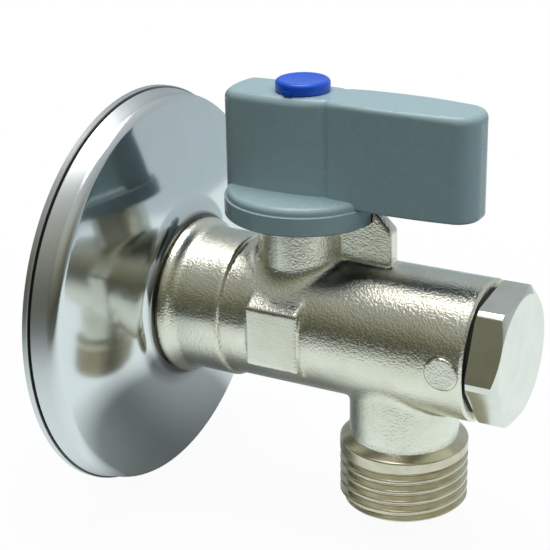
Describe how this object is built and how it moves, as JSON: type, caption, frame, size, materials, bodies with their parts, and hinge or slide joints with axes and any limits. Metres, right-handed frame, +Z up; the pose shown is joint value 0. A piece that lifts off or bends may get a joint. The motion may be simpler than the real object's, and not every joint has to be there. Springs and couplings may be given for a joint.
{
  "type": "angle stop valve with filter",
  "caption": "Angle stop valve with a wall rosette, quarter-turn lever over a ball, screw-in filter plug and a threaded outlet pointing down.",
  "frame": {"origin": "where the inlet axis crosses the finished wall", "axes": "+X out of the wall along the inlet axis, +Z up along the stem towards the handle"},
  "size_m": [0.082, 0.0686, 0.0742],
  "materials": {
    "body_nickel": "shot-blasted nickel plate on forged brass, threads machined",
    "rosette_chrome": "polished and plated pressed sheet",
    "plug_nickel": "turned brass, bright nickel plate",
    "handle_grey": "moulded, satin",
    "cap_blue": "moulded, glossy",
    "ball_chrome": "polished chrome plate on brass",
    "seat_white": "white sealing plastic",
    "seal_black": "black sealing rubber",
    "plain_brass": "machined brass",
    "steel": "zinc-plated steel",
    "filter_steel": "perforated stainless sheet"
  },
  "bodies": {
    "valve": {"valve_body": "body_nickel", "wall_rosette": "rosette_chrome", "inlet_seat": "seat_white", "outlet_seat": "seat_white", "seat_retainer": "plain_brass", "gland_nut": "plain_brass"},
    "lever": {"handle": "handle_grey", "handle_cap": "cap_blue", "handle_screw": "steel", "screw_washer": "steel", "stem": "plain_brass", "stem_oring_lower": "seal_black", "stem_oring_upper": "seal_black", "stem_slip_washer": "seat_white", "ball": "ball_chrome"},
    "filter": {"filter_screen": "filter_steel", "filter_end_ring": "plain_brass"},
    "plug": {"filter_plug": "plug_nickel", "plug_gasket": "seal_black"}
  },
  "joints": [
    {"name": "lever_turn", "type": "hinge", "parent": "valve", "child": "lever", "pos_m": [0.0319, 0, 0], "axis": [0, 0, 1], "range_deg": [-90, 0]},
    {"name": "filter_slide", "type": "slide", "parent": "valve", "child": "filter", "axis": [1, 0, 0], "range_m": [0, 0.006]},
    {"name": "plug_turn", "type": "hinge", "parent": "filter", "child": "plug", "pos_m": [0.064, 0, 0], "axis": [1, 0, 0], "range_deg": [0, 2160]}
  ],
  "couplings": [
    {"joint": "filter_slide", "follows": "plug_turn", "m_per_rad": 0.00015915}
  ]
}
